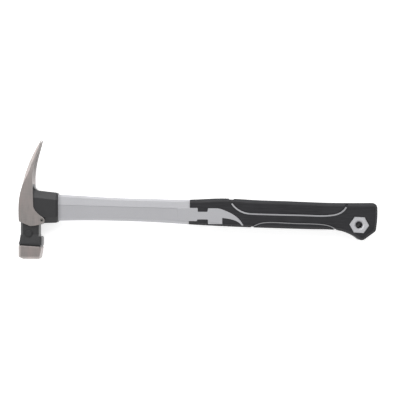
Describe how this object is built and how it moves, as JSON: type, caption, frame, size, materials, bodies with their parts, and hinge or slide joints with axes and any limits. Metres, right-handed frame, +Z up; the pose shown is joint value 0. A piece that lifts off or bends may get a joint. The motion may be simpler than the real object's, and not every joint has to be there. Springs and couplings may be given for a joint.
{
  "type": "claw hammer",
  "caption": "Rip-claw hammer with a square striking face, bonded glass-fibre handle in a silver jacket and a black rubber grip with a lanyard hole.",
  "frame": {"origin": "middle of the bounding box, on the plane that the hammer lies on", "axes": "hammer lying on its side: +X along the handle from head to butt, +Y from striking face to claws, +Z up out of the cheek"},
  "size_m": [0.3976, 0.1324, 0.028],
  "materials": {
    "head_steel": "ground bare steel on cheeks, claws and face, dark grey paint on neck and eye block",
    "pin_steel": "satin",
    "resin": "cast epoxy",
    "dam_rubber": "matt",
    "glass_fibre": "pultruded glass fibre",
    "silver_jacket": "satin silver moulding",
    "grip_rubber": "matt moulded rubber",
    "bush_plastic": "satin silver moulding"
  },
  "bodies": {
    "root": {"head": "head_steel", "cross_pin": "pin_steel", "eye_resin": "resin", "resin_dam": "dam_rubber", "handle_core": "glass_fibre", "handle_jacket": "silver_jacket", "grip": "grip_rubber", "lanyard_bush": "bush_plastic"}
  },
  "joints": []
}
